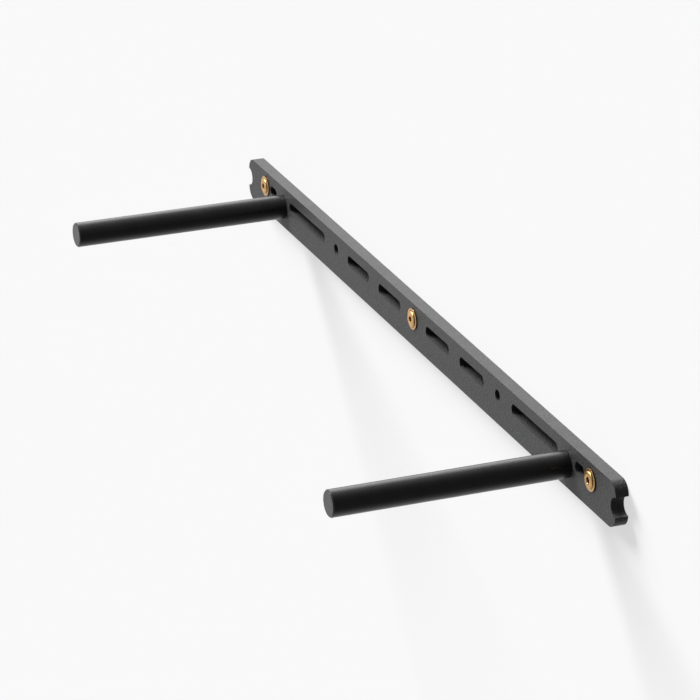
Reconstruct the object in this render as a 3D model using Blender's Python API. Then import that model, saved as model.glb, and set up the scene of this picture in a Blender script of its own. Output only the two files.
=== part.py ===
"""Wall-mounted pull up bar: a flat steel rail for the wall with two round pegs to hang from.

Metres, +Z up. The origin is the centre of the rail's back face, on the wall. +X runs along the
rail to the right, -Y points out of the wall and +Y into it.
"""

from math import cos, pi, radians, sin, sqrt

import bmesh
import bpy
from mathutils import Matrix, Vector

# Rail: flat bar, 36 x 1 3/4 x 1/2 in
RAIL_LENGTH = 0.9144
RAIL_HEIGHT = 0.04445
RAIL_THICKNESS = 0.0127
NOTCH_RADIUS = 0.009525  # half-round notch in each end

# Row of slots and holes, above the middle of the rail's height
ROW_ABOVE_MIDDLE = 0.006
SLOT_WIDTH = 0.0111125
INNER_WEB = 0.03175  # from the centre screw's axis to the first slot
MEDIUM_SLOT_LENGTH = 0.05715
MEDIUM_SLOT_GAP = 0.0254  # bar left between the two medium slots
HOLE_WEB = 0.03175  # from the round hole's axis to the slot on each side of it
PEG_WEB = 0.01905  # from the peg's axis to the long slot
SMALL_SLOT_LENGTH = 0.01905
PEG_TO_SMALL_SLOT = 0.0275  # axis of the peg to the middle of the small slot
SMALL_SLOT_TO_SCREW = 0.0233  # middle of the small slot to the outer wall screw
SCREW_FROM_END = 0.0508  # outer wall screw's axis to the end of the rail

# Pegs: round bar, 1 in across, 9 in proud of the rail
PEG_DIAMETER = 0.0254
PEG_REACH = 0.2286
PEG_TIP_CHAMFER = 0.0010
PEG_BASE_CHAMFER = 0.0004

# Countersunk socket screw that holds each peg from behind
PEG_SCREW_DIAMETER = 0.012
PEG_SCREW_HEAD_DIAMETER = 0.024
PEG_SCREW_HEAD_RIM = 0.0006  # short straight rim of the countersunk head
PEG_SCREW_ENGAGEMENT = 0.032  # length inside the peg
PEG_SCREW_TIP_CHAMFER = 0.0012
PEG_SCREW_SOCKET = 0.008  # hexagon across its flats
PEG_SCREW_SOCKET_DEPTH = 0.0045
PEG_BORE_RUNOUT = 0.004  # bore left empty past the screw's tip
PEG_BORE_DRILL_ANGLE = radians(118)

# Pin that stops each peg from turning
PIN_DIAMETER = 0.003
PIN_IN_PEG = 0.007
PIN_TO_COUNTERSINK = 0.0012  # steel left past the pin's hole in the rail, along Y
PIN_END_CHAMFER = 0.0003

# Wall screws: structural wood screws with a washer head and a hexagon socket
WALL_SCREW_REACH = 0.0635  # length past the rail, into the stud
WALL_SCREW_THREAD_DIAMETER = 0.0082
WALL_SCREW_SHANK_DIAMETER = 0.0088
WALL_SCREW_SHANK_LENGTH = 0.022  # plain part, measured from under the head
WALL_SCREW_POINT_LENGTH = 0.011
WALL_SCREW_FLANGE_DIAMETER = 0.0214
WALL_SCREW_FLANGE_THICKNESS = 0.0010
WALL_SCREW_DOME_DIAMETER = 0.0164
WALL_SCREW_DOME_HEIGHT = 0.0019
WALL_SCREW_TOP_DIAMETER = 0.0112  # flat ring round the socket
WALL_SCREW_SOCKET = 0.006
WALL_SCREW_SOCKET_DEPTH = 0.0028

FIT_GAP = 0.0003  # between two pieces that touch
HEAD_SINK = 0.0003  # countersunk head below the rail's back face
CUT_PAST = 0.004  # how far a cutter runs past the face it cuts

ROUND_STEPS = 48
SMALL_ROUND_STEPS = 32
ARC_STEPS = 14
DOME_STEPS = 5

# Places that follow from the sizes above
HALF_LENGTH = RAIL_LENGTH / 2
FRONT_FACE_Y = -RAIL_THICKNESS
OUTER_SCREW_X = HALF_LENGTH - SCREW_FROM_END
SMALL_SLOT_X = OUTER_SCREW_X - SMALL_SLOT_TO_SCREW
PEG_X = SMALL_SLOT_X - PEG_TO_SMALL_SLOT
FIRST_SLOT_START = INNER_WEB
SECOND_SLOT_START = FIRST_SLOT_START + MEDIUM_SLOT_LENGTH + MEDIUM_SLOT_GAP
HOLE_X = SECOND_SLOT_START + MEDIUM_SLOT_LENGTH + HOLE_WEB
LONG_SLOT_START = HOLE_X + HOLE_WEB
LONG_SLOT_END = PEG_X - PEG_WEB
PEG_BORE_RADIUS = PEG_SCREW_DIAMETER / 2 + FIT_GAP
PIN_HOLE_RADIUS = PIN_DIAMETER / 2 + FIT_GAP
PIN_FROM_PEG_AXIS = (PEG_BORE_RADIUS + PEG_DIAMETER / 2) / 2
SCREW_CONE_Y = -HEAD_SINK - PEG_SCREW_HEAD_RIM
COUNTERSINK_RADIUS = PEG_SCREW_HEAD_DIAMETER / 2 + FIT_GAP
COUNTERSINK_AT_PIN_Y = SCREW_CONE_Y - FIT_GAP - COUNTERSINK_RADIUS + PIN_FROM_PEG_AXIS - PIN_HOLE_RADIUS
PIN_HOLE_FLOOR_Y = COUNTERSINK_AT_PIN_Y - PIN_TO_COUNTERSINK
SIDES = (("left", -1), ("right", 1))


def clear_scene():
    for thing in list(bpy.data.objects):
        bpy.data.objects.remove(thing, do_unlink=True)


def finish(name):
    """A Principled material for the named finish."""
    looks = {
        "black_powder_coat": ((0.035, 0.035, 0.037), 0.62, 0.0),
        "satin_black": ((0.012, 0.012, 0.013), 0.34, 0.0),
        "brass_plated": ((0.83, 0.60, 0.27), 0.28, 1.0),
        "zinc_steel": ((0.55, 0.56, 0.58), 0.36, 1.0),
    }
    colour, roughness, metallic = looks[name]
    material = bpy.data.materials.get(name) or bpy.data.materials.new(name)
    material.use_nodes = True
    shader = material.node_tree.nodes["Principled BSDF"]
    shader.inputs["Base Color"].default_value = (*colour, 1.0)
    shader.inputs["Roughness"].default_value = roughness
    shader.inputs["Metallic"].default_value = metallic
    return material


def new_object(name, bm, material_name=None, parent=None, place=(0.0, 0.0, 0.0)):
    """Closes off a bmesh as a named object with its normals pointing out."""
    bmesh.ops.remove_doubles(bm, verts=bm.verts, dist=1e-7)
    bmesh.ops.recalc_face_normals(bm, faces=bm.faces)
    mesh = bpy.data.meshes.new(name)
    bm.to_mesh(mesh)
    bm.free()
    thing = bpy.data.objects.new(name, mesh)
    bpy.context.scene.collection.objects.link(thing)
    thing.location = place
    thing.parent = parent
    if material_name:
        mesh.materials.append(finish(material_name))
        mesh.shade_smooth()
        mesh.set_sharp_from_angle(angle=radians(30))
    return thing


def cut(thing, cutter):
    """Takes the cutter away from the thing, and hides the cutter."""
    modifier = thing.modifiers.new(cutter.name, "BOOLEAN")
    modifier.operation = "DIFFERENCE"
    modifier.object = cutter
    cutter.hide_render = True
    cutter.display_type = "WIRE"


def turned(bm, profile, steps, x=0.0, z=0.0):
    """Turns a profile of (radius, y) points, both ends on the axis, round the line along Y at x, z."""
    points = [bm.verts.new((x + radius, y, z)) for radius, y in profile]
    edges = [bm.edges.new(pair) for pair in zip(points, points[1:])]
    bmesh.ops.spin(
        bm,
        geom=points + edges,
        cent=(x, 0.0, z),
        axis=(0.0, 1.0, 0.0),
        angle=2 * pi,
        steps=steps,
        use_merge=True,
    )


def prism(bm, outline, y_start, y_end):
    """Extrudes an outline of (x, z) points from y_start to y_end."""
    face = bm.faces.new([bm.verts.new((x, y_start, z)) for x, z in outline])
    moved = bmesh.ops.extrude_face_region(bm, geom=[face])["geom"]
    corners = [item for item in moved if isinstance(item, bmesh.types.BMVert)]
    bmesh.ops.translate(bm, verts=corners, vec=(0.0, y_end - y_start, 0.0))


def arc(centre_x, centre_z, radius, start, end, steps):
    """Points on an arc in the XZ plane, both ends included; angles in radians from +X."""
    angles = [start + (end - start) * step / steps for step in range(steps + 1)]
    return [(centre_x + radius * cos(a), centre_z + radius * sin(a)) for a in angles]


def hexagon_cutter(name, across_flats, y_start, y_end, parent):
    """A hexagonal prism along Y, with a corner up."""
    bm = bmesh.new()
    prism(bm, arc(0, 0, across_flats / sqrt(3), pi / 2, pi / 2 + 5 * pi / 3, 5), y_start, y_end)
    return new_object(name, bm, parent=parent)


def rail_end_outline(side):
    """One end of the rail, from its lower edge up: corner, half-round notch, corner."""
    corner_radius = RAIL_HEIGHT / 2 - NOTCH_RADIUS
    corner_x = HALF_LENGTH - corner_radius
    points = arc(corner_x, -NOTCH_RADIUS, corner_radius, -pi / 2, 0, ARC_STEPS)
    points += arc(HALF_LENGTH, 0, NOTCH_RADIUS, 3 * pi / 2, pi / 2, 2 * ARC_STEPS)[1:-1]
    points += arc(corner_x, NOTCH_RADIUS, corner_radius, 0, pi / 2, ARC_STEPS)
    return [(side * x, z) for x, z in points][::side]


def slot_outline(start, end):
    """A slot with full-round ends, between two places along the rail."""
    radius = SLOT_WIDTH / 2
    points = arc(end - radius, ROW_ABOVE_MIDDLE, radius, -pi / 2, pi / 2, ARC_STEPS)
    points += arc(start + radius, ROW_ABOVE_MIDDLE, radius, pi / 2, 3 * pi / 2, ARC_STEPS)
    return points


def add_row(bm):
    """Every slot and round hole in the rail's row, mirrored about the centre screw."""
    half_small = SMALL_SLOT_LENGTH / 2
    slots = [
        (FIRST_SLOT_START, FIRST_SLOT_START + MEDIUM_SLOT_LENGTH),
        (SECOND_SLOT_START, SECOND_SLOT_START + MEDIUM_SLOT_LENGTH),
        (LONG_SLOT_START, LONG_SLOT_END),
        (SMALL_SLOT_X - half_small, SMALL_SLOT_X + half_small),
    ]
    past = (FRONT_FACE_Y - CUT_PAST, CUT_PAST)
    for _, side in SIDES:
        for start, end in slots:
            prism(bm, slot_outline(*sorted((side * start, side * end))), *past)
    radius = SLOT_WIDTH / 2
    for x in (0, HOLE_X, -HOLE_X, OUTER_SCREW_X, -OUTER_SCREW_X):
        ring = arc(x, ROW_ABOVE_MIDDLE, radius, 0, 2 * pi, SMALL_ROUND_STEPS)[:-1]
        prism(bm, ring, *past)


def peg_screw_profile(gap=0.0, past=0.0):
    """Countersunk screw from its back face to its tip. A gap and a run past each end make its hole."""
    head = PEG_SCREW_HEAD_DIAMETER / 2
    shank = PEG_SCREW_DIAMETER / 2
    cone_end = SCREW_CONE_Y - (head - shank)
    tip = FRONT_FACE_Y - PEG_SCREW_ENGAGEMENT
    if gap:
        return [
            (0, past),
            (head + gap, past),
            (head + gap, SCREW_CONE_Y - gap),
            (shank + gap, cone_end - gap),
            (shank + gap, FRONT_FACE_Y - past),
            (0, FRONT_FACE_Y - past),
        ]
    return [
        (0, -HEAD_SINK),
        (head, -HEAD_SINK),
        (head, SCREW_CONE_Y),
        (shank, cone_end),
        (shank, tip + PEG_SCREW_TIP_CHAMFER),
        (shank - PEG_SCREW_TIP_CHAMFER, tip),
        (0, tip),
    ]


def pin_hole_profile(start, end):
    return [(0, start), (PIN_HOLE_RADIUS, start), (PIN_HOLE_RADIUS, end), (0, end)]


def wall_rail():
    bm = bmesh.new()
    prism(bm, rail_end_outline(1) + rail_end_outline(-1), FRONT_FACE_Y, 0.0)
    rail = new_object("wall_rail", bm, "black_powder_coat")
    bm = bmesh.new()
    add_row(bm)
    pin_hole = pin_hole_profile(PIN_HOLE_FLOOR_Y, FRONT_FACE_Y - CUT_PAST)
    for _, side in SIDES:
        turned(bm, peg_screw_profile(FIT_GAP, CUT_PAST), ROUND_STEPS, side * PEG_X)
        turned(bm, pin_hole, SMALL_ROUND_STEPS, side * PEG_X, -PIN_FROM_PEG_AXIS)
    cut(rail, new_object("rail_cutter", bm))


def peg(side_name, side):
    """Solid round bar with a chamfered tip, bored at its base for the screw and the pin."""
    axis = bpy.data.objects.new(f"{side_name}_peg_axis", None)
    bpy.context.scene.collection.objects.link(axis)
    axis.location = (side * PEG_X, 0.0, 0.0)

    radius = PEG_DIAMETER / 2
    base = FRONT_FACE_Y - FIT_GAP
    tip = FRONT_FACE_Y - PEG_REACH
    bm = bmesh.new()
    profile = [
        (0, base),
        (radius - PEG_BASE_CHAMFER, base),
        (radius, base - PEG_BASE_CHAMFER),
        (radius, tip + PEG_TIP_CHAMFER),
        (radius - PEG_TIP_CHAMFER, tip),
        (0, tip),
    ]
    turned(bm, profile, ROUND_STEPS)
    bar = new_object(f"{side_name}_peg", bm, "satin_black", parent=axis)

    bore_end = FRONT_FACE_Y - PEG_SCREW_ENGAGEMENT - PEG_BORE_RUNOUT
    drill_point = PEG_BORE_RADIUS / sin(PEG_BORE_DRILL_ANGLE / 2) * cos(PEG_BORE_DRILL_ANGLE / 2)
    bm = bmesh.new()
    bore = [(0, CUT_PAST), (PEG_BORE_RADIUS, CUT_PAST), (PEG_BORE_RADIUS, bore_end)]
    turned(bm, bore + [(0, bore_end - drill_point)], ROUND_STEPS)
    cut(bar, new_object(f"{side_name}_peg_bore_cutter", bm, parent=axis))

    pin_hole_end = FRONT_FACE_Y - PIN_IN_PEG - FIT_GAP
    below = (0.0, 0.0, -PIN_FROM_PEG_AXIS)
    bm = bmesh.new()
    turned(bm, pin_hole_profile(CUT_PAST, pin_hole_end), SMALL_ROUND_STEPS)
    cut(bar, new_object(f"{side_name}_peg_pin_hole_cutter", bm, parent=axis, place=below))

    bm = bmesh.new()
    turned(bm, peg_screw_profile(), ROUND_STEPS)
    screw = new_object(f"{side_name}_peg_screw", bm, "zinc_steel", parent=axis)
    floor = -HEAD_SINK - PEG_SCREW_SOCKET_DEPTH
    socket_name = f"{side_name}_peg_screw_socket_cutter"
    cut(screw, hexagon_cutter(socket_name, PEG_SCREW_SOCKET, floor, CUT_PAST, axis))

    pin = PIN_DIAMETER / 2
    pin_back = PIN_HOLE_FLOOR_Y - FIT_GAP
    pin_front = FRONT_FACE_Y - PIN_IN_PEG
    bm = bmesh.new()
    profile = [
        (0, pin_back),
        (pin - PIN_END_CHAMFER, pin_back),
        (pin, pin_back - PIN_END_CHAMFER),
        (pin, pin_front + PIN_END_CHAMFER),
        (pin - PIN_END_CHAMFER, pin_front),
        (0, pin_front),
    ]
    turned(bm, profile, SMALL_ROUND_STEPS)
    new_object(f"{side_name}_peg_pin", bm, "zinc_steel", parent=axis, place=below)


def wall_screw_profile():
    """From the point in the stud, along the thread and shank, to the top of the domed head."""
    thread = WALL_SCREW_THREAD_DIAMETER / 2
    shank = WALL_SCREW_SHANK_DIAMETER / 2
    flange = WALL_SCREW_FLANGE_DIAMETER / 2
    dome = WALL_SCREW_DOME_DIAMETER / 2
    top = WALL_SCREW_TOP_DIAMETER / 2
    under_head = FRONT_FACE_Y - FIT_GAP
    shank_end = under_head + WALL_SCREW_SHANK_LENGTH
    flange_top = under_head - WALL_SCREW_FLANGE_THICKNESS
    profile = [
        (0, WALL_SCREW_REACH),
        (thread, WALL_SCREW_REACH - WALL_SCREW_POINT_LENGTH),
        (thread, shank_end + (shank - thread)),
        (shank, shank_end),
        (shank, under_head),
        (flange, under_head),
        (flange, flange_top),
        (dome, flange_top),
    ]
    for step in range(1, DOME_STEPS + 1):
        turn = pi / 2 * step / DOME_STEPS
        radius = top + (dome - top) * cos(turn)
        profile.append((radius, flange_top - WALL_SCREW_DOME_HEIGHT * sin(turn)))
    return profile + [(0, flange_top - WALL_SCREW_DOME_HEIGHT)]


def wall_screw(name, x):
    axis = bpy.data.objects.new(f"{name}_axis", None)
    bpy.context.scene.collection.objects.link(axis)
    axis.location = (x, 0.0, ROW_ABOVE_MIDDLE)
    bm = bmesh.new()
    profile = wall_screw_profile()
    turned(bm, profile, SMALL_ROUND_STEPS)
    screw = new_object(name, bm, "brass_plated", parent=axis)
    top = profile[-1][1]
    floor = top + WALL_SCREW_SOCKET_DEPTH
    socket_name = f"{name}_socket_cutter"
    cut(screw, hexagon_cutter(socket_name, WALL_SCREW_SOCKET, top - CUT_PAST, floor, axis))


clear_scene()
wall_rail()
for name, direction in SIDES:
    peg(name, direction)
for name, place in (("left", -OUTER_SCREW_X), ("centre", 0.0), ("right", OUTER_SCREW_X)):
    wall_screw(f"{name}_wall_screw", place)
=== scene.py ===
"""Looks of the wall-mounted pull up bar: a black steel rail, two round pegs and their fixings.

Metres, +Z up. +X runs along the rail, -Y points out of the wall and +Y into it. Every place comes
from the frame, and the sizes of details are given in the section of the piece that has them.
"""

from math import atan2, cos, floor, hypot, pi, radians, sin, sqrt, tan

import bmesh
import bpy
from mathutils import Matrix, Vector


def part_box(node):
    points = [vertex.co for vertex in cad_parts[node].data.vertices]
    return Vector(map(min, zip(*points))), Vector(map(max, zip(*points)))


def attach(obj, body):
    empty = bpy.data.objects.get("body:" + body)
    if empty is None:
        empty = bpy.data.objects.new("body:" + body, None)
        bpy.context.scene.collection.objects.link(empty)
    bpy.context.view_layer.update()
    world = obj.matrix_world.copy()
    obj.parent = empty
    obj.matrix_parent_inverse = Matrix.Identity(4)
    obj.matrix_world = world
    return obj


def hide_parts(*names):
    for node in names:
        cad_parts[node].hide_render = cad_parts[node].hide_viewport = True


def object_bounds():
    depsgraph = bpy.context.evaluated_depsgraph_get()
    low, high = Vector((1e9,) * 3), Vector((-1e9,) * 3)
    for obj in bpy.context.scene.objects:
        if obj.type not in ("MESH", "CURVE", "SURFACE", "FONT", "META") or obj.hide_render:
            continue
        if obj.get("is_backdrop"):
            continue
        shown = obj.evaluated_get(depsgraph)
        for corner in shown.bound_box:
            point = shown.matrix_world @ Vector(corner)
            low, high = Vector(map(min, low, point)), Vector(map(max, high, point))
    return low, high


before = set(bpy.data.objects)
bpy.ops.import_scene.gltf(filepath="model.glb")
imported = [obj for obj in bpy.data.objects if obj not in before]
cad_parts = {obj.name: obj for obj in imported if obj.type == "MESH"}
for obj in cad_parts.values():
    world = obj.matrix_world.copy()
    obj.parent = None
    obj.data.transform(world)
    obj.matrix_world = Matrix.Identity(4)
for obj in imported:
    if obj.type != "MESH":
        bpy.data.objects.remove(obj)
cad_low, cad_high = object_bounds()


# --- Camera ---------------------------------------------------------------------------------------
# A long lens from the right, above and well out from the wall, so that the rail runs away to the
# left and the pegs point to the left too.

CAMERA_PLACE = (3.15409, -1.33876, 1.39137)
CAMERA_TURN = radians(68.2222)
CAMERA_DOWN = radians(22.5163)
CAMERA_LENS = 195.132
SENSOR_WIDTH = 36.0

camera = bpy.data.objects.new("camera", bpy.data.cameras.new("camera"))
camera.data.lens = CAMERA_LENS
camera.data.sensor_width = SENSOR_WIDTH
camera.location = CAMERA_PLACE
camera.rotation_euler = (pi / 2 - CAMERA_DOWN, 0.0, CAMERA_TURN)
bpy.context.scene.collection.objects.link(camera)
bpy.context.scene.camera = camera
bpy.context.scene.view_settings.view_transform = "Standard"


# --- Wall and floor -------------------------------------------------------------------------------
# A plain pale wall that the rail is screwed to, and a pale floor well below it. The wall shows from
# the room only, so that the rail's back can be looked at too. A dark sheet just behind the slots,
# which isn't seen itself, is painted shade for the wall there, and keeps the room's light from
# coming into them from the wall's side.

PALE = 0.956
WALL_WIDTH = 14.0
WALL_HEIGHT = 3.4
WALL_GREY = 0.10
WALL_GLOW = 0.62
FLOOR_SIZE = 9.0
FLOOR_BELOW = 2.1
# The sheet behind the slots is dark grey, painted shade in place of the pale wall there.
SHADE_GREY = 0.05
SHADE_GLOW = 0.0
SHADE_INSET = 0.020
SHADE_BEFORE_WALL = 0.0002


def add_node(tree, kind, **values):
    """A shader node. Each value names one of its properties, or a socket with _ for each space."""
    made = tree.nodes.new("ShaderNode" + kind)
    for name, value in values.items():
        if hasattr(made, name):
            setattr(made, name, value)
        else:
            made.inputs[name.replace("_", " ")].default_value = value
    return made


def empty_material(name):
    """A material whose node tree holds nothing but its output."""
    material = bpy.data.materials.new(name)
    material.use_nodes = True
    material.node_tree.nodes.clear()
    return material, add_node(material.node_tree, "OutputMaterial")


def add_object(name, bm, material):
    """Makes a bmesh an object at the origin, with one material."""
    mesh = bpy.data.meshes.new(name)
    bm.to_mesh(mesh)
    bm.free()
    mesh.materials.append(material)
    made = bpy.data.objects.new(name, mesh)
    bpy.context.scene.collection.objects.link(made)
    return made


def one_sided_paint(name, grey, glow):
    """Matt paint with a glow of its own, so that shadows on it stay soft. It is clear from behind."""
    material, output = empty_material(name)
    tree = material.node_tree
    bright = add_node(tree, "Emission", Color=(1.0, 1.0, 1.0, 1.0), Strength=glow)
    matt = add_node(tree, "BsdfDiffuse", Color=(grey, grey, grey, 1.0))
    both = add_node(tree, "AddShader")
    clear = add_node(tree, "BsdfTransparent")
    side = add_node(tree, "NewGeometry")
    pick = add_node(tree, "MixShader")
    tree.links.new(bright.outputs[0], both.inputs[0])
    tree.links.new(matt.outputs[0], both.inputs[1])
    tree.links.new(side.outputs["Backfacing"], pick.inputs[0])
    tree.links.new(both.outputs[0], pick.inputs[1])
    tree.links.new(clear.outputs[0], pick.inputs[2])
    tree.links.new(pick.outputs[0], output.inputs[0])
    return material


def upright_sheet(width, height, y):
    """A flat sheet parallel to the wall, with its front to the room."""
    bm = bmesh.new()
    bmesh.ops.create_grid(bm, x_segments=1, y_segments=1, size=width / 2)
    bmesh.ops.scale(bm, vec=(1.0, height / width, 1.0), verts=bm.verts)
    bmesh.ops.rotate(bm, cent=(0, 0, 0), matrix=Matrix.Rotation(pi / 2, 3, "X"), verts=bm.verts)
    bmesh.ops.translate(bm, vec=(0.0, y, 0.0), verts=bm.verts)
    return bm


low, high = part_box("wall_rail")
wall_sheet = upright_sheet(WALL_WIDTH, WALL_HEIGHT, high.y)
wall = add_object("wall", wall_sheet, one_sided_paint("wall_paint", WALL_GREY, WALL_GLOW))

shade_width = high.x - low.x - SHADE_INSET
shade_height = high.z - low.z - SHADE_INSET
shade_sheet = upright_sheet(shade_width, shade_height, high.y - SHADE_BEFORE_WALL)
slot_shade = add_object("slot_shade", shade_sheet, one_sided_paint("shade_paint", SHADE_GREY, SHADE_GLOW))
slot_shade.visible_camera = False

bm = bmesh.new()
bmesh.ops.create_grid(bm, x_segments=1, y_segments=1, size=FLOOR_SIZE / 2)
bmesh.ops.translate(bm, vec=(0.0, 0.0, cad_low.z - FLOOR_BELOW), verts=bm.verts)
floor_paint, floor_output = empty_material("floor_paint")
floor_shader = add_node(floor_paint.node_tree, "Emission", Color=(PALE, PALE, PALE, 1.0))
floor_paint.node_tree.links.new(floor_shader.outputs[0], floor_output.inputs[0])
ground = add_object("floor", bm, floor_paint)

for backdrop in (wall, ground):
    backdrop.visible_diffuse = False
    backdrop.visible_glossy = False
    backdrop.visible_shadow = False
wall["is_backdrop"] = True
ground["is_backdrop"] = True
slot_shade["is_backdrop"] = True


# --- Light ----------------------------------------------------------------------------------------
# A room that is bright on the left and dark on the right, with a soft box at the upper left, past the
# wall's line, and a round lamp high in front. A broad sun lights the wall alone, to draw shadows on it.

ROOM_DARK = 0.14
ROOM_BRIGHT = 0.80
ROOM_BRIGHT_SIDE = (-0.9, 0.0, -0.2)
ROOM_TURNS_DARK = -0.7
ROOM_TURNS_BRIGHT = 0.35
BOX_SIDE = (-0.75, 0.36, 0.52)
BOX_GLOW = 2.2
BOX_EDGE = cos(radians(28))
BOX_CORE = cos(radians(10))
KEY_PLACE = (-1.3, -1.25, 2.35)
KEY_SIZE = 1.8
KEY_POWER = 172.0
SHADOW_SUN_FROM = (-3.0, -1.3, 2.2)
SHADOW_SUN_SPREAD = radians(26)
SHADOW_SUN_STRENGTH = 26.0


def brightness_towards(tree, where, side, start, end, low, high):
    """A brightness that goes smoothly from one value to another as a direction nears a side."""
    near = add_node(tree, "VectorMath", operation="DOT_PRODUCT")
    near.inputs[1].default_value = Vector(side).normalized()
    spread = add_node(tree, "MapRange", interpolation_type="SMOOTHSTEP", From_Min=start, From_Max=end)
    spread.inputs["To Min"].default_value = low
    spread.inputs["To Max"].default_value = high
    tree.links.new(where, near.inputs[0])
    tree.links.new(near.outputs["Value"], spread.inputs["Value"])
    return spread.outputs["Result"]


def room_light():
    """An even pale background, with a dimmer room round it to light and be reflected."""
    world = bpy.data.worlds.new("room")
    world.use_nodes = True
    tree = world.node_tree
    tree.nodes.clear()
    output = add_node(tree, "OutputWorld")
    seen = add_node(tree, "Background", Color=(PALE, PALE, PALE, 1.0))
    lit = add_node(tree, "Background", Color=(1.0, 1.0, 1.0, 1.0))
    where = add_node(tree, "TexCoord").outputs["Generated"]
    sides = (ROOM_BRIGHT_SIDE, ROOM_TURNS_DARK, ROOM_TURNS_BRIGHT, ROOM_DARK, ROOM_BRIGHT)
    room = brightness_towards(tree, where, *sides)
    box = brightness_towards(tree, where, BOX_SIDE, BOX_EDGE, BOX_CORE, 0.0, BOX_GLOW)
    both = add_node(tree, "Math", operation="ADD")
    path = add_node(tree, "LightPath")
    pick = add_node(tree, "MixShader")
    tree.links.new(room, both.inputs[0])
    tree.links.new(box, both.inputs[1])
    tree.links.new(both.outputs[0], lit.inputs["Strength"])
    tree.links.new(path.outputs["Is Camera Ray"], pick.inputs[0])
    tree.links.new(lit.outputs[0], pick.inputs[1])
    tree.links.new(seen.outputs[0], pick.inputs[2])
    tree.links.new(pick.outputs[0], output.inputs[0])
    bpy.context.scene.world = world


def add_lamp(name, kind, place, power, receivers):
    """A lamp that points at the middle of the rail, isn't seen itself, and lights one collection."""
    lamp = bpy.data.objects.new(name, bpy.data.lights.new(name, kind))
    lamp.data.energy = power
    lamp.location = place
    lamp.rotation_mode = "QUATERNION"
    lamp.rotation_quaternion = Vector(place).to_track_quat("Z", "Y")
    lamp.visible_camera = False
    lamp.light_linking.receiver_collection = receivers
    bpy.context.scene.collection.objects.link(lamp)
    return lamp


stage_set = bpy.data.collections.new("stage_set")
stage_set.objects.link(wall)
object_set = bpy.data.collections.new("object_set")
room_light()
key_lamp = add_lamp("key_lamp", "AREA", KEY_PLACE, KEY_POWER, object_set)
key_lamp.data.shape = "DISK"
key_lamp.data.size = KEY_SIZE
shadow_sun = add_lamp("shadow_sun", "SUN", SHADOW_SUN_FROM, SHADOW_SUN_STRENGTH, stage_set)
shadow_sun.data.angle = SHADOW_SUN_SPREAD


# --- Wall rail ------------------------------------------------------------------------------------
# A length of flat steel bar with a row of milled slots and drilled holes, rounded corners and a
# half-round notch in each end. Its edges are broken before it is powder coated a fine matte black.

NOTCH_RADIUS = 0.009525
SLOT_WIDTH = 0.0111125
INNER_WEB = 0.03175
MEDIUM_SLOT_LENGTH = 0.05715
MEDIUM_SLOT_GAP = 0.0254
HOLE_WEB = 0.03175
PEG_WEB = 0.01905
SMALL_SLOT_LENGTH = 0.01905
SMALL_SLOT_TO_SCREW = 0.0233
FIT_GAP = 0.0003
PEG_HEAD_RIM = 0.0006
CUT_PAST = 0.004
HALF_TURN_STEPS = 24
ROUND_STEPS = 64
SAME_PLACE = 1e-6
MERGE_WITHIN = 1e-7
RAIL_EDGE = 0.00045
EDGE_STEPS = 3
SHARP_RAIL_EDGE = radians(40)
COAT_DARK = (0.020, 0.020, 0.0205, 1.0)
COAT_LIGHT = (0.031, 0.031, 0.0315, 1.0)
COAT_WORN = (0.045, 0.045, 0.046, 1.0)
LUMP_TONE = 0.55
PATCH_TONE = 0.9
PATCH_TONE_SHIFT = -0.22
FLECK_DEPTH = -0.5
SKIN_ROUGHNESS = 0.36
BARE_SPECULAR = 0.5


def new_group(name, inputs, outputs):
    """A node group with number sockets. Gives the group, its input node and its output node."""
    group = bpy.data.node_groups.new(name, "ShaderNodeTree")
    for socket, value in inputs.items():
        made = group.interface.new_socket(socket, in_out="INPUT", socket_type="NodeSocketFloat")
        made.default_value = value
    for socket in outputs:
        group.interface.new_socket(socket, in_out="OUTPUT", socket_type="NodeSocketFloat")
    return group, group.nodes.new("NodeGroupInput"), group.nodes.new("NodeGroupOutput")


def coat_grain_group():
    """The fine lumps of a sprayed and baked coat, with broad, faint patches over them."""
    inputs = {"Lump Scale": 1400.0, "Patch Scale": 60.0, "Low Roughness": 0.5, "High Roughness": 0.65}
    group, given, out = new_group("coat_grain", inputs, ("Tone", "Roughness", "Height"))
    where = add_node(group, "TexCoord")
    lumps = add_node(group, "TexNoise", Detail=3.0, Roughness=0.6)
    fleck = add_node(group, "TexVoronoi", feature="SMOOTH_F1", Smoothness=0.6)
    patches = add_node(group, "TexNoise", Detail=4.0, Roughness=0.55)
    height = add_node(group, "Math", operation="MULTIPLY_ADD")
    height.inputs[1].default_value = FLECK_DEPTH
    tone = add_node(group, "Math", operation="MULTIPLY_ADD", use_clamp=True)
    tone.inputs[1].default_value = LUMP_TONE
    shift = add_node(group, "Math", operation="MULTIPLY_ADD")
    shift.inputs[1].default_value = PATCH_TONE
    shift.inputs[2].default_value = PATCH_TONE_SHIFT
    sheen = add_node(group, "MapRange", From_Min=0.3, From_Max=0.7)
    for texture, scale in ((lumps, "Lump Scale"), (fleck, "Lump Scale"), (patches, "Patch Scale")):
        group.links.new(where.outputs["Object"], texture.inputs["Vector"])
        group.links.new(given.outputs[scale], texture.inputs["Scale"])
    group.links.new(fleck.outputs["Distance"], height.inputs[0])
    group.links.new(lumps.outputs["Fac"], height.inputs[2])
    group.links.new(patches.outputs["Fac"], shift.inputs[0])
    group.links.new(lumps.outputs["Fac"], tone.inputs[0])
    group.links.new(shift.outputs[0], tone.inputs[2])
    group.links.new(patches.outputs["Fac"], sheen.inputs["Value"])
    group.links.new(given.outputs["Low Roughness"], sheen.inputs["To Min"])
    group.links.new(given.outputs["High Roughness"], sheen.inputs["To Max"])
    group.links.new(tone.outputs[0], out.inputs["Tone"])
    group.links.new(sheen.outputs["Result"], out.inputs["Roughness"])
    group.links.new(height.outputs[0], out.inputs["Height"])
    return group


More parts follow.
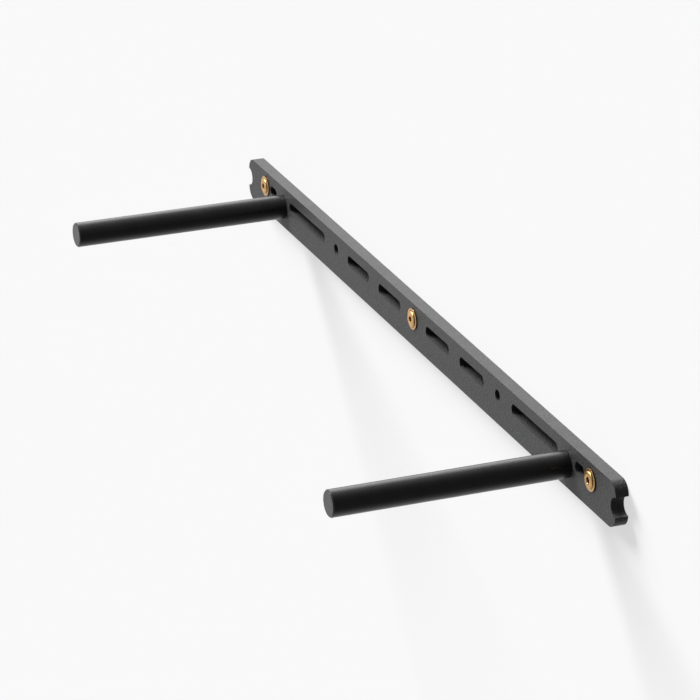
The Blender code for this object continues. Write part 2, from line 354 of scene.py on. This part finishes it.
def edge_wear_group():
    """A mask that is 1 on the crests of edges, broken up where hands and tools have not rubbed."""
    inputs = {"Width": 0.0008, "Rub Scale": 180.0, "Amount": 1.0}
    group, given, out = new_group("edge_wear", inputs, ("Mask",))
    where = add_node(group, "TexCoord")
    flat = add_node(group, "NewGeometry")
    rounded = add_node(group, "Bevel", samples=6)
    agree = add_node(group, "VectorMath", operation="DOT_PRODUCT")
    edge = add_node(group, "MapRange", From_Min=0.995, From_Max=0.90)
    rub = add_node(group, "TexNoise", Detail=5.0, Roughness=0.6)
    patchy = add_node(group, "MapRange", From_Min=0.38, From_Max=0.66)
    both = add_node(group, "Math", operation="MULTIPLY")
    scaled = add_node(group, "Math", operation="MULTIPLY", use_clamp=True)
    group.links.new(given.outputs["Width"], rounded.inputs["Radius"])
    group.links.new(rounded.outputs[0], agree.inputs[0])
    group.links.new(flat.outputs["True Normal"], agree.inputs[1])
    group.links.new(agree.outputs["Value"], edge.inputs["Value"])
    group.links.new(where.outputs["Object"], rub.inputs["Vector"])
    group.links.new(given.outputs["Rub Scale"], rub.inputs["Scale"])
    group.links.new(rub.outputs["Fac"], patchy.inputs["Value"])
    group.links.new(edge.outputs["Result"], both.inputs[0])
    group.links.new(patchy.outputs["Result"], both.inputs[1])
    group.links.new(both.outputs[0], scaled.inputs[0])
    group.links.new(given.outputs["Amount"], scaled.inputs[1])
    group.links.new(scaled.outputs[0], out.inputs["Mask"])
    return group


def add_group(tree, group, **values):
    """Places a node group in a tree. Each value names one of its sockets, with _ for each space."""
    made = tree.nodes.new("ShaderNodeGroup")
    made.node_tree = group
    for name, value in values.items():
        made.inputs[name.replace("_", " ")].default_value = value
    return made


def mix_colours(tree, factor, low, high):
    """Mixes two colours by a factor. A colour is four numbers, or the socket that it comes from."""
    mix = add_node(tree, "Mix", data_type="RGBA")
    tree.links.new(factor, mix.inputs["Factor"])
    for end, colour in (("A_Color", low), ("B_Color", high)):
        socket = next(item for item in mix.inputs if item.identifier == end)
        if isinstance(colour, bpy.types.NodeSocket):
            tree.links.new(colour, socket)
        else:
            socket.default_value = colour
    return next(item for item in mix.outputs if item.identifier == "Result_Color")


coat_grain = coat_grain_group()
edge_wear = edge_wear_group()


def coat(name, dark, light, worn, lump_scale, low_roughness, high_roughness, lump_height, wear, skin):
    """A baked black coat: grain in its height, patches in its gloss, and faintly rubbed edges. The
    skin is how much of its shine comes from a smoother layer that has flowed out on top."""
    material, output = empty_material(name)
    tree = material.node_tree
    shader = add_node(tree, "BsdfPrincipled", Coat_Weight=skin, Coat_Roughness=SKIN_ROUGHNESS)
    shader.inputs["Specular IOR Level"].default_value = BARE_SPECULAR * (1 - skin)
    grain = add_group(tree, coat_grain, Lump_Scale=lump_scale, Low_Roughness=low_roughness)
    grain.inputs["High Roughness"].default_value = high_roughness
    rubbed = add_group(tree, edge_wear, Amount=wear)
    bump = add_node(tree, "Bump", Strength=1.0, Distance=lump_height)
    body = mix_colours(tree, grain.outputs["Tone"], dark, light)
    colour = mix_colours(tree, rubbed.outputs["Mask"], body, worn)
    tree.links.new(colour, shader.inputs["Base Color"])
    tree.links.new(grain.outputs["Roughness"], shader.inputs["Roughness"])
    tree.links.new(grain.outputs["Height"], bump.inputs["Height"])
    tree.links.new(bump.outputs["Normal"], shader.inputs["Normal"])
    tree.links.new(shader.outputs[0], output.inputs[0])
    return material


def middle_of(node):
    """The middle of a piece's box, which for a turned piece is on its axis."""
    low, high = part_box(node)
    return (low + high) / 2


def draw(bm, arcs, y):
    """Draws a closed outline in the plane at y and fills it. Each arc is its centre, its start and
    the angle it swings through, seen from the room; a straight line leads to it where there's a gap."""
    first = pen = None
    for (centre_x, centre_z), (start_x, start_z), angle in arcs:
        start = Vector((start_x, y, start_z))
        if pen is None or (pen.co - start).length > SAME_PLACE:
            fresh = bm.verts.new(start)
            if pen:
                bm.edges.new((pen, fresh))
            pen = fresh
        first = first or pen
        swung = bmesh.ops.spin(
            bm,
            geom=[pen],
            cent=(centre_x, y, centre_z),
            axis=(0.0, -1.0, 0.0),
            angle=angle,
            steps=round(HALF_TURN_STEPS * abs(angle) / pi),
        )
        pen = next(item for item in swung["geom_last"] if isinstance(item, bmesh.types.BMVert))
    if (pen.co - first.co).length < SAME_PLACE:
        bmesh.ops.pointmerge(bm, verts=[pen, first], merge_co=first.co)
    else:
        bm.edges.new((pen, first))
    loose = [edge for edge in bm.edges if edge.is_wire]
    return bmesh.ops.contextual_create(bm, geom=loose)["faces"]


def push(bm, faces, depth):
    """Extrudes flat faces along Y into a solid."""
    moved = bmesh.ops.extrude_face_region(bm, geom=faces)["geom"]
    corners = [item for item in moved if isinstance(item, bmesh.types.BMVert)]
    bmesh.ops.translate(bm, verts=corners, vec=(0.0, depth, 0.0))


def turn(bm, profile, x, z, steps):
    """Turns a profile of (radius, y) points, both ends on the axis, round the line along Y at x, z."""
    points = [bm.verts.new((x + radius, y, z)) for radius, y in profile]
    edges = [bm.edges.new(pair) for pair in zip(points, points[1:])]
    bmesh.ops.spin(
        bm,
        geom=points + edges,
        cent=(x, 0.0, z),
        axis=(0.0, 1.0, 0.0),
        angle=2 * pi,
        steps=steps,
        use_merge=True,
    )


def drill(bm, radius, start, end, x, z):
    """A round cutter along Y between two places."""
    turn(bm, [(0, start), (radius, start), (radius, end), (0, end)], x, z, ROUND_STEPS)


def close_up(bm):
    """Joins points that coincide and turns every face out."""
    bmesh.ops.remove_doubles(bm, verts=bm.verts, dist=MERGE_WITHIN)
    bmesh.ops.recalc_face_normals(bm, faces=bm.faces)


def cut(piece, bm):
    """Takes a solid away from a piece for good, and removes the cutter."""
    close_up(bm)
    cutter = add_object("cutter", bm, piece.data.materials[0])
    boolean = piece.modifiers.new("cut", "BOOLEAN")
    boolean.operation = "DIFFERENCE"
    boolean.object = cutter
    solid = piece.evaluated_get(bpy.context.evaluated_depsgraph_get())
    old = piece.data
    piece.data = bpy.data.meshes.new_from_object(solid)
    piece.modifiers.remove(boolean)
    bpy.data.objects.remove(cutter)
    name = old.name
    bpy.data.meshes.remove(old)
    piece.data.name = name


rail_low, rail_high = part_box("wall_rail")
rail_front = rail_low.y
rail_depth = rail_high.y - rail_low.y
half_height = (rail_high.z - rail_low.z) / 2
corner_radius = half_height - NOTCH_RADIUS
peg_x = middle_of("right_peg").x
screw_x = middle_of("right_wall_screw").x
row_z = middle_of("centre_wall_screw").z


def slot_arcs(start, end):
    """The two full-round ends of a slot between two places along the rail."""
    radius = SLOT_WIDTH / 2
    right, left = end - radius, start + radius
    return [((right, row_z), (right, row_z - radius), pi), ((left, row_z), (left, row_z + radius), pi)]


rail_arcs = []
for side in (1, -1):
    end_x = side * rail_high.x
    corner_x = end_x - side * corner_radius
    low_z = -side * half_height
    rail_arcs += [
        ((corner_x, -side * NOTCH_RADIUS), (corner_x, low_z), pi / 2),
        ((end_x, 0.0), (end_x, -side * NOTCH_RADIUS), -pi),
        ((corner_x, side * NOTCH_RADIUS), (end_x, side * NOTCH_RADIUS), pi / 2),
    ]
bm = bmesh.new()
push(bm, draw(bm, rail_arcs, rail_front), rail_depth)
close_up(bm)
rail_coat = coat(
    "fine_black_powder_coat",
    COAT_DARK,
    COAT_LIGHT,
    COAT_WORN,
    lump_scale=520.0,
    low_roughness=0.60,
    high_roughness=0.72,
    lump_height=0.0011,
    wear=0.55,
    skin=0.3,
)
rail = add_object("coated_rail", bm, rail_coat)

small_middle = screw_x - SMALL_SLOT_TO_SCREW
second_start = INNER_WEB + MEDIUM_SLOT_LENGTH + MEDIUM_SLOT_GAP
hole_x = second_start + MEDIUM_SLOT_LENGTH + HOLE_WEB
slots = [
    (INNER_WEB, INNER_WEB + MEDIUM_SLOT_LENGTH),
    (second_start, second_start + MEDIUM_SLOT_LENGTH),
    (hole_x + HOLE_WEB, peg_x - PEG_WEB),
    (small_middle - SMALL_SLOT_LENGTH / 2, small_middle + SMALL_SLOT_LENGTH / 2),
]
cut_start = rail_front - CUT_PAST
cut_end = rail_high.y + CUT_PAST
bm = bmesh.new()
for side in (1, -1):
    for start, end in slots:
        outline = slot_arcs(*sorted((side * start, side * end)))
        push(bm, draw(bm, outline, cut_start), cut_end - cut_start)
for x in (0.0, hole_x, -hole_x, screw_x, -screw_x):
    drill(bm, SLOT_WIDTH / 2, cut_start, cut_end, x, row_z)
for name in ("left", "right"):
    head_low, head_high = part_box(f"{name}_peg_screw")
    axis = middle_of(f"{name}_peg_screw")
    head_radius = (head_high.x - head_low.x) / 2 + FIT_GAP
    pin_low, pin_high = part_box(f"{name}_peg_pin")
    pin_axis = middle_of(f"{name}_peg_pin")
    shank_radius = head_radius / 2
    cone_start = head_high.y - PEG_HEAD_RIM - FIT_GAP
    cone_end = cone_start - (head_radius - shank_radius)
    hole = [
        (0, cut_end),
        (head_radius, cut_end),
        (head_radius, cone_start),
        (shank_radius, cone_end),
        (shank_radius, cut_start),
        (0, cut_start),
    ]
    turn(bm, hole, axis.x, axis.z, ROUND_STEPS)
    pin_radius = (pin_high.x - pin_low.x) / 2 + FIT_GAP
    drill(bm, pin_radius, cut_start, pin_high.y, pin_axis.x, pin_axis.z)
cut(rail, bm)
rail.data.shade_smooth()
broken_edges = rail.modifiers.new("broken_edges", "BEVEL")
broken_edges.width = RAIL_EDGE
broken_edges.segments = EDGE_STEPS
broken_edges.limit_method = "ANGLE"
broken_edges.angle_limit = SHARP_RAIL_EDGE
broken_edges.harden_normals = True
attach(rail, "root")
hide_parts("wall_rail")
object_set.objects.link(rail)


# --- Pegs -----------------------------------------------------------------------------------------
# Two lengths of round steel bar, faced and lightly chamfered at the tip, and bored at the base for
# the screw and the pin that hold them. They have a smoother, satin black coat.

PEG_STEPS = 128
TIP_CHAMFER = 0.0010
BASE_CHAMFER = 0.0004
BORE_DIAMETER = 0.0126
BORE_RUNOUT = 0.004
DRILL_ANGLE = radians(118)
SHARP_PEG_EDGE = radians(30)
PEG_DARK = (0.008, 0.008, 0.0083, 1.0)
PEG_LIGHT = (0.012, 0.012, 0.0125, 1.0)

peg_coat = coat(
    "satin_black_coat",
    PEG_DARK,
    PEG_LIGHT,
    COAT_WORN,
    lump_scale=1900.0,
    low_roughness=0.24,
    high_roughness=0.32,
    lump_height=0.00006,
    wear=0.45,
    skin=0.0,
)
for name in ("left", "right"):
    low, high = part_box(f"{name}_peg")
    axis = middle_of(f"{name}_peg")
    radius = (high.z - low.z) / 2
    bore = BORE_DIAMETER / 2
    bore_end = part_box(f"{name}_peg_screw")[0].y - BORE_RUNOUT
    profile = [
        (0, bore_end - bore / tan(DRILL_ANGLE / 2)),
        (bore, bore_end),
        (bore, high.y),
        (radius - BASE_CHAMFER, high.y),
        (radius, high.y - BASE_CHAMFER),
        (radius, low.y + TIP_CHAMFER),
        (radius - TIP_CHAMFER, low.y),
        (0, low.y),
    ]
    bm = bmesh.new()
    turn(bm, profile, axis.x, axis.z, PEG_STEPS)
    close_up(bm)
    peg = add_object(f"{name}_peg_bar", bm, peg_coat)
    pin_low, pin_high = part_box(f"{name}_peg_pin")
    pin_axis = middle_of(f"{name}_peg_pin")
    pin_radius = (pin_high.x - pin_low.x) / 2 + FIT_GAP
    bm = bmesh.new()
    drill(bm, pin_radius, pin_low.y - FIT_GAP, cut_end, pin_axis.x, pin_axis.z)
    cut(peg, bm)
    peg.data.shade_smooth()
    peg.data.set_sharp_from_angle(angle=SHARP_PEG_EDGE)
    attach(peg, "root")
    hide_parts(f"{name}_peg")
    object_set.objects.link(peg)


# --- Peg screws -----------------------------------------------------------------------------------
# Countersunk socket screws that come through the rail from behind and pull each peg tight on it.
# They are zinc-plated steel with a rolled metric thread, and their heads sit just below the back.

METRIC_STEPS = 64
METRIC_RINGS_PER_PITCH = 10
METRIC_PITCH = 0.00175
METRIC_DEPTH = 0.0010
METRIC_CREST = 0.12
THREAD_FLANK = 0.6
SOCKET_WIDTH = 0.008
SOCKET_DEPTH = 0.0045
SOCKET_LEAD = 0.0004
SCREW_EDGE = 0.00015
SCREW_EDGE_STEPS = 2
SHARP_HEAD_EDGE = radians(35)
SHARP_SCREW_SHADING = radians(32)
RING_SHARE = 0.35
LACQUER = 0.15
LACQUER_ROUGHNESS = 0.15
FINE_EDGE = 0.0003
RING_HEIGHT = 0.00002
ZINC_DARK = (0.42, 0.43, 0.45, 1.0)
ZINC_LIGHT = (0.62, 0.63, 0.65, 1.0)
ZINC_POLISHED = (0.75, 0.76, 0.78, 1.0)
# The next colour is painted shade, laid deep in sockets and tight corners.
ZINC_PAINTED_SHADE = (0.06, 0.06, 0.06, 1.0)


def turned_marks_group():
    """Fine rings left by turning or rolling, which follow the piece's ring_place, and scuffs."""
    inputs = {"Ring Scale": 5000.0, "Scuff Scale": 400.0, "Low Roughness": 0.2, "High Roughness": 0.4}
    group, given, out = new_group("turned_marks", inputs, ("Tone", "Roughness", "Height"))
    distance = add_node(group, "Attribute", attribute_name="ring_place")
    where = add_node(group, "TexCoord")
    rings = add_node(group, "TexNoise", noise_dimensions="1D", Detail=3.0, Roughness=0.7)
    scuffs = add_node(group, "TexNoise", Detail=6.0, Roughness=0.65, Distortion=0.6)
    mixed = add_node(group, "Math", operation="MULTIPLY_ADD", use_clamp=True)
    mixed.inputs[1].default_value = RING_SHARE
    gloss = add_node(group, "MapRange", From_Min=0.3, From_Max=0.8)
    tone = add_node(group, "MapRange", From_Min=0.35, From_Max=0.65)
    group.links.new(distance.outputs["Fac"], rings.inputs["W"])
    group.links.new(given.outputs["Ring Scale"], rings.inputs["Scale"])
    group.links.new(where.outputs["Object"], scuffs.inputs["Vector"])
    group.links.new(given.outputs["Scuff Scale"], scuffs.inputs["Scale"])
    group.links.new(rings.outputs["Fac"], mixed.inputs[0])
    group.links.new(scuffs.outputs["Fac"], mixed.inputs[2])
    group.links.new(mixed.outputs[0], gloss.inputs["Value"])
    group.links.new(given.outputs["Low Roughness"], gloss.inputs["To Min"])
    group.links.new(given.outputs["High Roughness"], gloss.inputs["To Max"])
    group.links.new(scuffs.outputs["Fac"], tone.inputs["Value"])
    group.links.new(tone.outputs["Result"], out.inputs["Tone"])
    group.links.new(gloss.outputs["Result"], out.inputs["Roughness"])
    group.links.new(rings.outputs["Fac"], out.inputs["Height"])
    return group


def recess_shade_group():
    """A mask of painted shade, 1 deep inside sockets and tight corners where little light reaches."""
    group, given, out = new_group("recess_shade", {"Reach": 0.003, "Amount": 1.0}, ("Mask",))
    open_sky = add_node(group, "AmbientOcclusion", samples=8)
    shade_amount = add_node(group, "MapRange", From_Min=0.97, From_Max=0.68)
    scaled = add_node(group, "Math", operation="MULTIPLY", use_clamp=True)
    group.links.new(given.outputs["Reach"], open_sky.inputs["Distance"])
    group.links.new(open_sky.outputs["AO"], shade_amount.inputs["Value"])
    group.links.new(shade_amount.outputs["Result"], scaled.inputs[0])
    group.links.new(given.outputs["Amount"], scaled.inputs[1])
    group.links.new(scaled.outputs[0], out.inputs["Mask"])
    return group


turned_marks = turned_marks_group()
recess_shade = recess_shade_group()


def plated(name, dark, light, worn, painted_shade, low_roughness, high_roughness, wear):
    """Plated metal with turned rings and scuffs, polished on its edges, with painted shade in its recesses.
    """
    material, output = empty_material(name)
    tree = material.node_tree
    shader = add_node(tree, "BsdfPrincipled", Metallic=1.0)
    shader.inputs["Coat Weight"].default_value = LACQUER
    shader.inputs["Coat Roughness"].default_value = LACQUER_ROUGHNESS
    marks = add_group(tree, turned_marks, Low_Roughness=low_roughness, High_Roughness=high_roughness)
    rubbed = add_group(tree, edge_wear, Width=FINE_EDGE, Amount=wear)
    shade_amount = add_group(tree, recess_shade)
    bump = add_node(tree, "Bump", Strength=1.0, Distance=RING_HEIGHT)
    body = mix_colours(tree, marks.outputs["Tone"], dark, light)
    clean = mix_colours(tree, rubbed.outputs["Mask"], body, worn)
    # Painted shade: recesses darkened by ambient occlusion.
    colour = mix_colours(tree, shade_amount.outputs["Mask"], clean, painted_shade)
    tree.links.new(colour, shader.inputs["Base Color"])
    tree.links.new(marks.outputs["Roughness"], shader.inputs["Roughness"])
    tree.links.new(marks.outputs["Height"], bump.inputs["Height"])
    tree.links.new(bump.outputs["Normal"], shader.inputs["Normal"])
    tree.links.new(shader.outputs[0], output.inputs[0])
    return material


def cut_socket(piece, width, depth, axis, face, inward):
    """Cuts a hexagon socket with a corner up into a head's face, and a small cone round its mouth."""
    bm = bmesh.new()
    sides = bmesh.ops.create_cone(
        bm,
        cap_ends=True,
        segments=6,
        radius1=width / sqrt(3),
        radius2=width / sqrt(3),
        depth=depth + CUT_PAST,
    )["verts"]
    bmesh.ops.rotate(bm, cent=(0, 0, 0), matrix=Matrix.Rotation(pi / 6, 3, "Z"), verts=sides)
    bmesh.ops.rotate(bm, cent=(0, 0, 0), matrix=Matrix.Rotation(pi / 2, 3, "X"), verts=sides)
    middle = face + inward * (depth - CUT_PAST) / 2
    bmesh.ops.translate(bm, vec=(axis.x, middle, axis.z), verts=sides)
    cut(piece, bm)
    bm = bmesh.new()
    mouth = width / sqrt(3) + SOCKET_LEAD / 2
    outside = face - inward * CUT_PAST
    inside = face + inward * SOCKET_LEAD
    cone = [(0, outside), (mouth, outside), (mouth, face), (width / 2, inside), (0, inside)]
    turn(bm, cone, axis.x, axis.z, ROUND_STEPS)
    cut(piece, bm)


def screw_thread(bm, axis, start, end, pitch, depth, crest):
    """Presses a helical thread into the rings of points between two places along Y. It has the
    given depth and share of flat crest, and fades in and out over one turn."""
    for point in bm.verts:
        if start < point.co.y < end:
            side = point.co.x - axis.x
            up = point.co.z - axis.z
            radius = hypot(side, up)
            if radius < depth:
                continue
            turns = point.co.y / pitch - atan2(up, side) / (2 * pi)
            phase = abs(2 * (turns - floor(turns)) - 1)
            groove = min(1.0, max(0.0, (phase - crest) / (1 - crest)) / THREAD_FLANK)
            fade = min(1.0, (point.co.y - start) / pitch, (end - point.co.y) / pitch)
            scale = 1 - depth * groove * fade / radius
            point.co.x = axis.x + side * scale
            point.co.z = axis.z + up * scale


def rings(start, end, spacing):
    """Evenly spaced places between two others, the ends left out."""
    count = round(abs(end - start) / spacing)
    return [start + (end - start) * step / count for step in range(1, count)]


def break_head_edges(piece, start, end):
    """Breaks the sharp edges of a screw between two places along Y, which leaves its thread alone."""
    bm = bmesh.new()
    bm.from_mesh(piece.data)
    sharp = [
        edge
        for edge in bm.edges
        if len(edge.link_faces) == 2
        and edge.calc_face_angle() > SHARP_HEAD_EDGE
        and all(start < point.co.y < end for point in edge.verts)
    ]
    bmesh.ops.bevel(
        bm,
        geom=sharp,
        offset=SCREW_EDGE,
        segments=SCREW_EDGE_STEPS,
        profile=0.5,
        affect="EDGES",
        material=-1,
    )
    bm.to_mesh(piece.data)
    bm.free()


def mark_rings(piece, axis):
    """Notes each point's distance to a turned piece's axis plus its place along it, which tells one
    ring that a tool left from the next, and shades the piece smooth."""
    where = [hypot(point.co.x - axis.x, point.co.z - axis.z) + point.co.y for point in piece.data.vertices]
    place = piece.data.attributes.new("ring_place", "FLOAT", "POINT")
    place.data.foreach_set("value", where)
    piece.data.shade_smooth()
    piece.data.set_sharp_from_angle(angle=SHARP_SCREW_SHADING)


zinc = plated(
    "zinc_plate",
    ZINC_DARK,
    ZINC_LIGHT,
    ZINC_POLISHED,
    ZINC_PAINTED_SHADE,
    low_roughness=0.28,
    high_roughness=0.46,
    wear=0.8,
)
for name in ("left", "right"):
    low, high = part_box(f"{name}_peg_screw")
    axis = middle_of(f"{name}_peg_screw")
    head_radius = (high.x - low.x) / 2
    shank_radius = head_radius / 2
    cone_start = high.y - PEG_HEAD_RIM
    cone_end = cone_start - (head_radius - shank_radius)
    tip_start = low.y + METRIC_DEPTH
    profile = [(0, high.y), (head_radius, high.y), (head_radius, cone_start), (shank_radius, cone_end)]
    profile += [(shank_radius, y) for y in rings(cone_end, tip_start, METRIC_PITCH / METRIC_RINGS_PER_PITCH)]
    profile += [(shank_radius, tip_start), (shank_radius - METRIC_DEPTH, low.y), (0, low.y)]
    bm = bmesh.new()
    turn(bm, profile, axis.x, axis.z, METRIC_STEPS)
    close_up(bm)
    screw_thread(bm, axis, tip_start, cone_end, METRIC_PITCH, METRIC_DEPTH, METRIC_CREST)
    screw = add_object(f"{name}_countersunk_screw", bm, zinc)
    cut_socket(screw, SOCKET_WIDTH, SOCKET_DEPTH, axis, face=high.y, inward=-1)
    break_head_edges(screw, cone_end, high.y + CUT_PAST)
    mark_rings(screw, axis)
    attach(screw, "root")
    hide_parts(f"{name}_peg_screw")
    object_set.objects.link(screw)


# --- Peg pins -------------------------------------------------------------------------------------
# Ground steel dowel pins, one below each peg's screw, that stop the peg from turning on it. One end
# is domed and the other is chamfered to start it in its hole.

PIN_STEPS = 48
PIN_CHAMFER = 0.0003
PIN_DOME_STEPS = 8

for name in ("left", "right"):
    low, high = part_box(f"{name}_peg_pin")
    axis = middle_of(f"{name}_peg_pin")
    radius = (high.x - low.x) / 2
    profile = []
    for step in range(PIN_DOME_STEPS + 1):
        angle = pi / 2 * step / PIN_DOME_STEPS
        profile.append((radius * sin(angle), low.y + radius / 2 * (1 - cos(angle))))
    profile += [(radius, high.y - PIN_CHAMFER), (radius - PIN_CHAMFER, high.y), (0, high.y)]
    bm = bmesh.new()
    turn(bm, profile, axis.x, axis.z, PIN_STEPS)
    close_up(bm)
    pin = add_object(f"{name}_dowel_pin", bm, zinc)
    mark_rings(pin, axis)
    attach(pin, "root")
    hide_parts(f"{name}_peg_pin")
    object_set.objects.link(pin)


# --- Wall screws ----------------------------------------------------------------------------------
# Structural wood screws with a domed washer head and a hexagon socket, driven through the rail into
# the studs. They are steel, plated a bright brass colour, with a coarse thread and a sharp point.

WOOD_STEPS = 72
WOOD_PITCH = 0.0042
WOOD_RINGS_PER_PITCH = 14
WOOD_THREAD_DIAMETER = 0.0082
WOOD_CORE_DIAMETER = 0.0054
WOOD_CREST = 0.10
WOOD_SHANK_DIAMETER = 0.0088
WOOD_SHANK_LENGTH = 0.022
WOOD_POINT_LENGTH = 0.011
FLANGE_THICKNESS = 0.0010
DOME_DIAMETER = 0.0164
TOP_DIAMETER = 0.0112
HEAD_DOME_STEPS = 14
DRIVE_WIDTH = 0.006
DRIVE_DEPTH = 0.0028
BRASS_DARK = (0.60, 0.33, 0.10, 1.0)
BRASS_LIGHT = (0.80, 0.51, 0.22, 1.0)
BRASS_POLISHED = (0.92, 0.74, 0.48, 1.0)
# The next colour is painted shade, laid deep in the socket and in tight corners of the head.
BRASS_PAINTED_SHADE = (0.07, 0.015, 0.003, 1.0)

brass = plated(
    "brass_plate",
    BRASS_DARK,
    BRASS_LIGHT,
    BRASS_POLISHED,
    BRASS_PAINTED_SHADE,
    low_roughness=0.26,
    high_roughness=0.40,
    wear=0.9,
)
for name in ("left", "centre", "right"):
    low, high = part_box(f"{name}_wall_screw")
    axis = middle_of(f"{name}_wall_screw")
    flange = (high.x - low.x) / 2
    under_head = rail_front - FIT_GAP
    flange_top = under_head - FLANGE_THICKNESS
    dome_height = flange_top - low.y
    thread = WOOD_THREAD_DIAMETER / 2
    shank = WOOD_SHANK_DIAMETER / 2
    dome = DOME_DIAMETER / 2
    top = TOP_DIAMETER / 2
    shank_end = under_head + WOOD_SHANK_LENGTH
    thread_start = shank_end + (shank - thread)
    point_start = high.y - WOOD_POINT_LENGTH
    ring = WOOD_PITCH / WOOD_RINGS_PER_PITCH
    profile = [(0, low.y)]
    for step in range(HEAD_DOME_STEPS + 1):
        angle = pi / 2 * (1 - step / HEAD_DOME_STEPS)
        profile.append((top + (dome - top) * cos(angle), flange_top - dome_height * sin(angle)))
    profile += [(flange, flange_top), (flange, under_head), (shank, under_head), (shank, shank_end)]
    profile += [(thread, thread_start)]
    profile += [(thread, y) for y in rings(thread_start, point_start, ring)]
    profile += [(thread, point_start)]
    profile += [(thread * (high.y - y) / WOOD_POINT_LENGTH, y) for y in rings(point_start, high.y, ring)]
    profile += [(0, high.y)]
    bm = bmesh.new()
    turn(bm, profile, axis.x, axis.z, WOOD_STEPS)
    close_up(bm)
    depth = (WOOD_THREAD_DIAMETER - WOOD_CORE_DIAMETER) / 2
    screw_thread(bm, axis, thread_start, high.y, WOOD_PITCH, depth, WOOD_CREST)
    screw = add_object(f"{name}_wood_screw", bm, brass)
    cut_socket(screw, DRIVE_WIDTH, DRIVE_DEPTH, axis, face=low.y, inward=1)
    break_head_edges(screw, low.y - CUT_PAST, under_head + ring)
    mark_rings(screw, axis)
    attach(screw, "root")
    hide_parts(f"{name}_wall_screw")
    object_set.objects.link(screw)


# --- Size -----------------------------------------------------------------------------------------
# The box of the CAD model, found at the start, and the box of what is shown.

low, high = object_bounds()
